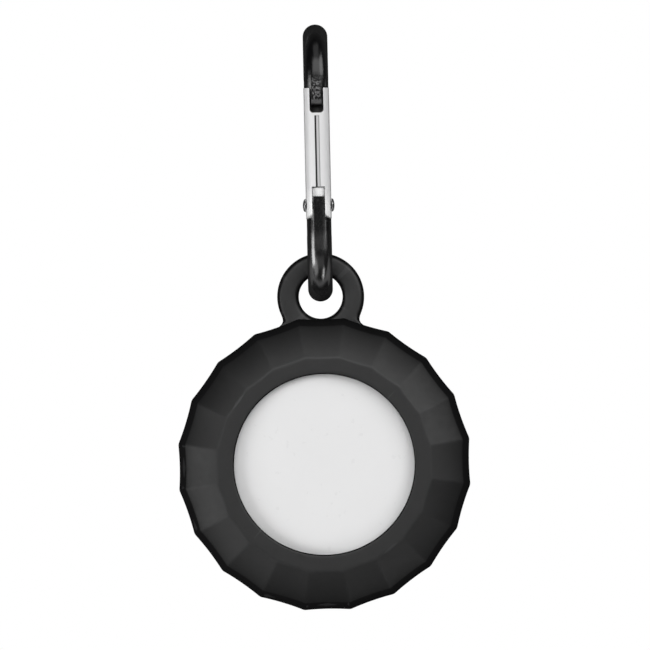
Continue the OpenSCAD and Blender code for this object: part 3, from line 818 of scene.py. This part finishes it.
def enamel_rim_sheen(look):
    """A painted dull grey sheen where the enamel turns away from the camera, with its reflection faded
    there.
    """
    # Painted sheen: grey mixed into the colour towards the rim
    look.mix_base(look.turning_away(start=0.28, end=0.58), (0.021, 0.021, 0.0212))
    look.calm_rim(specular=0.5, start=0.3, end=0.55)


def rod_enamel():
    """Enamel of the rod, with specks on the hinge tongue and a clear layer on the bend below it."""
    look = black_enamel("rod_enamel", roughness=0.22)
    look.add_grain(per_mm=1.6, depth=0.012, strength=0.12)
    above_step = look.along("Z", HINGE_STEP_Z, HINGE_STEP_Z + SPECKS_FADE)
    on_tongue = look.product(above_step, look.along("Z", SPECKS_TOP_Z, SPECKS_TOP_Z - SPECKS_FADE))
    specks = look.graded(look.noise(per_mm=4.2, detail=5), start=0.6, end=0.68)
    look.mix_base(look.product(on_tongue, specks), SOOT)
    look.wear((0.05, 0.05, 0.052), most=0.5, start=0.55, end=0.68)
    enamel_rim_sheen(look)
    below_step = look.along("Z", LACQUER_TOP_Z, LACQUER_TOP_Z - LACQUER_FADE)
    towards_camera = look.turning_away(start=0.33, end=0.65, at_start=1.0, at_end=0.0)
    look.lacquer(look.product(below_step, towards_camera), roughness=0.23, index=1.75)
    return look.material


# Worn patch on the nose: its two sides, how each fades in, and how it fades in at its top
PATCH_LEFT = -0.5
PATCH_LEFT_FADE = 0.2
PATCH_RIGHT = 0.6
PATCH_RIGHT_FADE = 0.25
PATCH_TOP_FADE = 0.5


def worn_enamel():
    """Enamel of the nose, rubbed through in a patch where the gate snaps shut."""
    look = black_enamel("worn_enamel", roughness=0.26)
    below_step = look.along("Z", NOSE_STEP_Z + PATCH_TOP_FADE, NOSE_STEP_Z)
    right_of = look.along("X", PATCH_LEFT - PATCH_LEFT_FADE, PATCH_LEFT)
    left_of = look.along("X", PATCH_RIGHT + PATCH_RIGHT_FADE, PATCH_RIGHT)
    patch = look.product(look.product(below_step, left_of), right_of)
    rubbed = look.graded(look.noise(per_mm=3.2, detail=5), start=0.47, end=0.62)
    look.mix_base(look.product(patch, rubbed), (0.17, 0.17, 0.172))
    look.add_grain(per_mm=3.0, depth=0.03, strength=0.25, detail=5)
    look.wear((0.12, 0.12, 0.122), most=0.7, start=0.54, end=0.66)
    enamel_rim_sheen(look)
    return look.material


# Painted shade in the gate's groove and bore: the width of the darker line along the groove's right edge,
# how sharply the groove's shade ends, and how the bore's shade fades in
SHADE_LINE_W = 0.1
GROOVE_SHADE_FADE = 0.03
BORE_SHADE_FADE = 0.08


def paint_groove_shade(look):
    """The groove painted as shade: a dark slit on its left, a shaded grey floor, and a darker line along
    its right edge.
    """
    below_top = look.along("Z", GROOVE_TOP_Z, GROOVE_TOP_Z - GROOVE_SHADE_FADE)
    in_groove = look.product(below_top, look.along("Y", GATE_Y, GATE_Y - GATE_R / 2))
    left = -SEAM_W / 2
    slit_end = left + SLIT_W
    line_start = SEAM_W / 2 - SHADE_LINE_W
    # Painted shade in the groove: the slit, the line along its right edge and its floor
    for start, end, colour in (
        (left, slit_end, grey(0.02)),
        (line_start, SEAM_W / 2, grey(0.3)),
        (slit_end, line_start, (0.64, 0.64, 0.645)),
    ):
        look.mix_base(look.product(in_groove, look.between_x(start, end, GROOVE_SHADE_FADE)), colour)


def gate_nickel():
    """Satin plating of the gate, paler towards the rivet, with fine lines along it; the bore, the groove
    and the rim where it turns away carry painted shade.
    """
    look = Look("gate_nickel", colour=(0.77, 0.77, 0.775), metallic=0.12, roughness=0.5)
    look.vary_colour(per_mm=0.5, spread=0.03, stretch=(1, 1, 0.2))
    look.mix_base(look.along("Z", RIVET_Z + HINGE_SLOT_OVER, RIVET_Z), grey(0.97))
    # Painted shade: the bore is painted dark grey
    look.mix_base(look.inside_bore(GATE_Y, GATE_BORE_R, BORE_SHADE_FADE), grey(0.12))
    paint_groove_shade(look)
    # Painted shade: dark grey along the rim where the surface turns away from the camera
    look.mix_base(look.turning_away(start=0.55, end=0.85, at_end=0.85), grey(0.12))
    look.vary_roughness(per_mm=3.0, spread=0.2, stretch=(1, 1, 0.08))
    look.add_grain(per_mm=8.0, depth=0.004, strength=0.3, stretch=(1, 1, 0.05))
    return look.material


def rivet_steel():
    """Dark steel of the rivet, hammered a little."""
    look = Look("rivet_steel", colour=(0.24, 0.24, 0.242), metallic=1.0, roughness=0.3)
    look.vary_colour(per_mm=2.0, spread=0.25)
    look.vary_roughness(per_mm=3.0, spread=0.25)
    look.add_grain(per_mm=4.0, depth=0.02, strength=0.4, detail=4)
    return look.material


def tag_plastic():
    """Smooth white plastic of the tag's front."""
    look = Look("tag_plastic", colour=(0.82, 0.82, 0.822), roughness=0.3, specular=0.4)
    look.vary_colour(per_mm=0.1, spread=0.008, detail=3)
    look.vary_roughness(per_mm=0.8, spread=0.1)
    look.add_grain(per_mm=6.0, depth=0.002, strength=0.15)
    return look.material


def cover_steel():
    """Brushed steel of the battery cover, bright at its edges."""
    look = Look("cover_steel", colour=(0.62, 0.62, 0.625), metallic=1.0, roughness=0.24)
    look.vary_colour(per_mm=0.4, spread=0.03)
    look.vary_roughness(per_mm=5.0, spread=0.25, stretch=(1, 1, 0.03))
    look.add_grain(per_mm=14.0, depth=0.003, strength=0.25, stretch=(1, 1, 0.02))
    look.wear(grey(0.8), most=0.5)
    return look.material


def frame_plastic():
    """Pale plastic of the tag's rear half."""
    look = Look("frame_plastic", colour=(0.72, 0.72, 0.725), roughness=0.36, specular=0.4)
    look.vary_colour(per_mm=0.2, spread=0.012, detail=3)
    look.vary_roughness(per_mm=1.2, spread=0.12)
    look.add_grain(per_mm=8.0, depth=0.004, strength=0.2)
    return look.material


def shaded_spring_wire():
    """Drawn wire of the gate's spring, painted dark as shade inside the gate."""
    look = Look("shaded_spring_wire", colour=(0.12, 0.12, 0.122), metallic=1.0, roughness=0.38)
    look.vary_colour(per_mm=1.5, spread=0.15)
    look.vary_roughness(per_mm=3.0, spread=0.2)
    look.add_grain(per_mm=9.0, depth=0.004, strength=0.25)
    return look.material


def follower_steel():
    """Bright plating of the follower."""
    look = Look("follower_steel", colour=grey(0.95), metallic=0.4, roughness=0.42)
    look.vary_colour(per_mm=1.5, spread=0.1)
    look.vary_roughness(per_mm=4.0, spread=0.2)
    look.add_grain(per_mm=9.0, depth=0.004, strength=0.25)
    return look.material


def cell_steel():
    """Steel of the coin cell, with a faint brushed sheen."""
    look = Look("cell_steel", colour=(0.66, 0.66, 0.665), metallic=1.0, roughness=0.27)
    look.vary_colour(per_mm=0.6, spread=0.04)
    look.vary_roughness(per_mm=5.0, spread=0.25, stretch=(1, 1, 0.05))
    look.add_grain(per_mm=12.0, depth=0.003, strength=0.2)
    return look.material


def contact_gold():
    """Gold plating of the contact leaves."""
    look = Look("contact_gold", colour=(0.83, 0.64, 0.3), metallic=1.0, roughness=0.28)
    look.vary_colour(per_mm=1.0, spread=0.06)
    look.vary_roughness(per_mm=5.0, spread=0.25)
    look.add_grain(per_mm=10.0, depth=0.003, strength=0.2)
    return look.material


def board_green():
    """Green lacquer of the circuit board, with a faint weave."""
    look = Look("board_green", colour=(0.02, 0.1, 0.045), roughness=0.38, specular=0.45)
    look.vary_colour(per_mm=0.8, spread=0.15, detail=5)
    look.vary_roughness(per_mm=2.0, spread=0.15)
    look.add_grain(per_mm=5.0, depth=0.01, strength=0.25, detail=4)
    return look.material


def chip_black():
    """Matt moulded black of the chips."""
    look = Look("chip_black", colour=(0.018, 0.018, 0.019), roughness=0.5, specular=0.4)
    look.vary_colour(per_mm=2.0, spread=0.12)
    look.vary_roughness(per_mm=4.0, spread=0.12)
    look.add_grain(per_mm=14.0, depth=0.004, strength=0.3, detail=4)
    return look.material


def can_tin():
    """Tinned sheet of the shield can."""
    look = Look("can_tin", colour=(0.58, 0.58, 0.57), metallic=1.0, roughness=0.36)
    look.vary_colour(per_mm=0.8, spread=0.05)
    look.vary_roughness(per_mm=3.0, spread=0.2)
    look.add_grain(per_mm=6.0, depth=0.005, strength=0.2)
    return look.material


def carrier_plastic():
    """Grey plastic of the antenna's carrier."""
    look = Look("carrier_plastic", colour=(0.2, 0.2, 0.205), roughness=0.46, specular=0.4)
    look.vary_colour(per_mm=0.6, spread=0.08)
    look.vary_roughness(per_mm=2.0, spread=0.12)
    look.add_grain(per_mm=9.0, depth=0.006, strength=0.25, detail=4)
    return look.material


def flex_copper():
    """Copper under the amber film of the antenna."""
    look = Look("flex_copper", colour=(0.5, 0.24, 0.1), metallic=0.6, roughness=0.36)
    look.vary_colour(per_mm=0.8, spread=0.1)
    look.vary_roughness(per_mm=2.5, spread=0.2)
    look.add_grain(per_mm=7.0, depth=0.004, strength=0.2)
    return look.material


def magnet_nickel():
    """Nickel plating of the sounder's magnet."""
    look = Look("magnet_nickel", colour=(0.6, 0.6, 0.59), metallic=1.0, roughness=0.3)
    look.vary_colour(per_mm=0.9, spread=0.06)
    look.vary_roughness(per_mm=3.0, spread=0.25)
    look.add_grain(per_mm=8.0, depth=0.004, strength=0.2)
    return look.material


def yoke_steel():
    """Pressed steel of the magnet's cup."""
    look = Look("yoke_steel", colour=(0.4, 0.4, 0.41), metallic=1.0, roughness=0.4)
    look.vary_colour(per_mm=0.9, spread=0.08)
    look.vary_roughness(per_mm=3.0, spread=0.2)
    look.add_grain(per_mm=7.0, depth=0.005, strength=0.25)
    return look.material


def coil_copper():
    """Enamelled copper wire of the sounder's coil."""
    look = Look("coil_copper", colour=(0.72, 0.33, 0.17), metallic=1.0, roughness=0.38)
    look.vary_colour(per_mm=2.0, spread=0.12)
    look.vary_roughness(per_mm=4.0, spread=0.2)
    look.add_grain(per_mm=16.0, depth=0.006, strength=0.3)
    return look.material


def stage_look(name, level):
    """Flat pale paint for the floor and the backdrop."""
    return Look(name, colour=grey(level), roughness=0.9, specular=0.1)


def paint(obj, material):
    """Gives an object one material."""
    obj.data.materials.clear()
    obj.data.materials.append(material)


# Pieces made anew

silicone = case_silicone()
case = build_case()
ring = build_ring()
for piece in (case, ring):
    paint(piece, silicone)
    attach(piece, "case")
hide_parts("holder_case")

enamel = rod_enamel()
rod = build_rod()
nose = build_rod_end(
    "hook_nose", start_z=TOP_BEND_Z, step_z=NOSE_STEP_Z, shoulder_z=NOSE_SHOULDER_Z,
    tip_z=NOSE_SHOULDER_Z - NOSE_TONGUE_LEN, root_r=NOSE_ROOT_R,
)
hinge = build_rod_end(
    "hook_hinge", start_z=BOTTOM_BEND_Z, step_z=HINGE_STEP_Z, shoulder_z=HINGE_SHOULDER_Z,
    tip_z=TONGUE_TOP_Z, root_r=HINGE_ROOT_R,
)
for piece, material in ((rod, enamel), (nose, worn_enamel()), (hinge, enamel)):
    paint(piece, material)
    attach(piece, "hook")
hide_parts("hook_body")

gate = build_gate()
paint(gate, gate_nickel())
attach(gate, "gate")
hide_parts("gate")

rivet = build_rivet()
paint(rivet, rivet_steel())
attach(rivet, "hook")
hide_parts("gate_rivet")

front_shell = build_front_shell()
paint(front_shell, tag_plastic())
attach(front_shell, "case")
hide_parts("tag_front_shell")

# The spring: a copy of the part's coil with a mesh of its own, carried with the gate
# Its wire is painted dark as shade inside the gate
wire = shaded_spring_wire()
coil_node = nodes["gate_spring"]
spring = bpy.data.objects.new("gate_coil", coil_node.data.copy())
spring.matrix_world = coil_node.matrix_world
bpy.context.scene.collection.objects.link(spring)
paint(spring, wire)
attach(spring, "gate")
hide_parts("gate_spring")
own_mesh(spring)

# Finishes of the part's own pieces that keep their solids
gold = contact_gold()
NODE_FINISHES = {
    "gate_spring": wire,
    "gate_follower": follower_steel(),
    "tag_rear_frame": frame_plastic(),
    "battery_cover": cover_steel(),
    "coin_cell": cell_steel(),
    "contact_negative": gold,
    "contact_positive": gold,
    "circuit_board": board_green(),
    "board_chips": chip_black(),
    "shield_can": can_tin(),
    "antenna_carrier": carrier_plastic(),
    "antenna_flex": flex_copper(),
    "speaker_magnet": magnet_nickel(),
    "magnet_yoke": yoke_steel(),
    "voice_coil": coil_copper(),
}
for node_name, material in NODE_FINISHES.items():
    paint(nodes[node_name], material)

# Stage: a pale floor below the object and a white backdrop far behind it
FLOOR_HALF_W = 900
FLOOR_FRONT_Y = -40
FLOOR_BACK_Y = 310
FLOOR_Z = -160
FLOOR_T = 10
FLOOR_WHITE_SHARE = 0.75
BACKDROP_HALF_W = 1150
BACKDROP_Y = 2500
BACKDROP_T = 100
BACKDROP_LOW_Z = -1050
BACKDROP_HIGH_Z = 860
SKY_LIGHT_SHARE = 0.03

floor_low = (-FLOOR_HALF_W, FLOOR_FRONT_Y, FLOOR_Z - FLOOR_T)
floor = block("floor", floor_low, (FLOOR_HALF_W, FLOOR_BACK_Y, FLOOR_Z))
floor_look = stage_look("floor_pale", 0.9)
paint(floor, floor_look.material)
backdrop_high = (BACKDROP_HALF_W, BACKDROP_Y + BACKDROP_T, BACKDROP_HIGH_Z)
backdrop = block("backdrop", (-BACKDROP_HALF_W, BACKDROP_Y, BACKDROP_LOW_Z), backdrop_high)
backdrop_look = stage_look("backdrop_white", 0.85)
paint(backdrop, backdrop_look.material)


def show_white(look, share, kinds):
    """Shows a stage surface as white, by a share, to the camera and to other kinds of ray."""
    tree = look.tree
    light = tree.nodes.new("ShaderNodeEmission")
    light.inputs["Strength"].default_value = 1.0
    light.inputs["Color"].default_value = (1, 1, 1, 1)
    path = tree.nodes.new("ShaderNodeLightPath")
    seen = path.outputs["Is Camera Ray"]
    for kind in kinds:
        either = tree.nodes.new("ShaderNodeMath")
        either.operation = "MAXIMUM"
        tree.links.new(seen, either.inputs[0])
        tree.links.new(path.outputs[kind], either.inputs[1])
        seen = either.outputs["Value"]
    part = tree.nodes.new("ShaderNodeMath")
    part.operation = "MULTIPLY"
    part.inputs[1].default_value = share
    tree.links.new(seen, part.inputs[0])
    mix = tree.nodes.new("ShaderNodeMixShader")
    out = tree.nodes["Material Output"]
    tree.links.new(part.outputs["Value"], mix.inputs["Fac"])
    tree.links.new(look.shader.outputs["BSDF"], mix.inputs[1])
    tree.links.new(light.outputs["Emission"], mix.inputs[2])
    tree.links.new(mix.outputs["Shader"], out.inputs["Surface"])


show_white(backdrop_look, 1.0, ("Is Glossy Ray", "Is Transmission Ray"))
show_white(floor_look, FLOOR_WHITE_SHARE, ())


def light_world():
    """A world that the camera sees as white and that lights the object only faintly."""
    world = bpy.data.worlds.new("studio")
    bpy.context.scene.world = world
    world.use_nodes = True
    tree = world.node_tree
    sky = tree.nodes["Background"]
    sky.inputs["Color"].default_value = (1, 1, 1, 1)
    sight = tree.nodes.new("ShaderNodeLightPath")
    glow = tree.nodes.new("ShaderNodeMapRange")
    glow.inputs["To Min"].default_value = SKY_LIGHT_SHARE
    glow.inputs["To Max"].default_value = 1.0
    tree.links.new(sight.outputs["Is Camera Ray"], glow.inputs["Value"])
    tree.links.new(glow.outputs["Result"], sky.inputs["Strength"])


light_world()


def softbox(name, place, target, width, height, watts):
    """A soft lamp that looks at a target, with its place and size in millimetres."""
    lamp = bpy.data.lights.new(name, "AREA")
    lamp.shape = "RECTANGLE"
    lamp.size = width * MM
    lamp.size_y = height * MM
    lamp.energy = watts
    obj = bpy.data.objects.new(name, lamp)
    obj.location = Vector(place) * MM
    obj.rotation_mode = "QUATERNION"
    obj.rotation_quaternion = (Vector(target) - Vector(place)).normalized().to_track_quat("-Z", "Y")
    bpy.context.scene.collection.objects.link(obj)


# Lamps: a wide panel high in front, with one more on its right and one above
softbox("lamp_high", place=(110, -650, 282), target=(110, 0, 282), width=960, height=448, watts=2.9)
softbox("lamp_high_right", place=(536, -368, 250), target=(0, 0, 190), width=360, height=448, watts=1.9)
softbox("lamp_above", place=(60, -382, 540), target=(0, 0, 0), width=500, height=500, watts=0.5)

# Lamps: a box on the left for the streak on the rod, soft ones low in front, and one behind
softbox("lamp_left", place=(-400, -215, -125), target=(0, 0, -33), width=220, height=240, watts=1.05)
softbox("lamp_low_left", place=(-300, -300, -350), target=(0, 0, -80), width=300, height=300, watts=0.35)
softbox("lamp_low_front", place=(0, -650, -420), target=(0, 0, -420), width=1100, height=400, watts=0.4)
softbox("lamp_right", place=(170, -170, -314), target=(0, 0, -34), width=60, height=150, watts=0.15)
softbox("lamp_back", place=(-250, 650, 300), target=(0, 0, -50), width=700, height=500, watts=1.6)

# Camera: along +Y through a long lens, with the object leaning a little to the left as in the photograph
VIEW_WIDTH = 98.53
CAMERA_AWAY = 1500.0
CAMERA_X = 0.56
CAMERA_Z = -41.82
SENSOR_W = 36.0
LEAN_DEG = 1.258
camera_data = bpy.data.cameras.new("camera")
camera_data.sensor_width = SENSOR_W
camera_data.lens = SENSOR_W * CAMERA_AWAY / VIEW_WIDTH
camera = bpy.data.objects.new("camera", camera_data)
camera.matrix_world = (
    Matrix.Translation(Vector((CAMERA_X, -CAMERA_AWAY, CAMERA_Z)) * MM)
    @ Matrix.Rotation(math.pi / 2, 4, "X")
    @ Matrix.Rotation(-math.radians(LEAN_DEG), 4, "Z")
)
bpy.context.scene.collection.objects.link(camera)
bpy.context.scene.camera = camera
bpy.context.scene.view_settings.view_transform = "Standard"

bpy.context.view_layer.update()
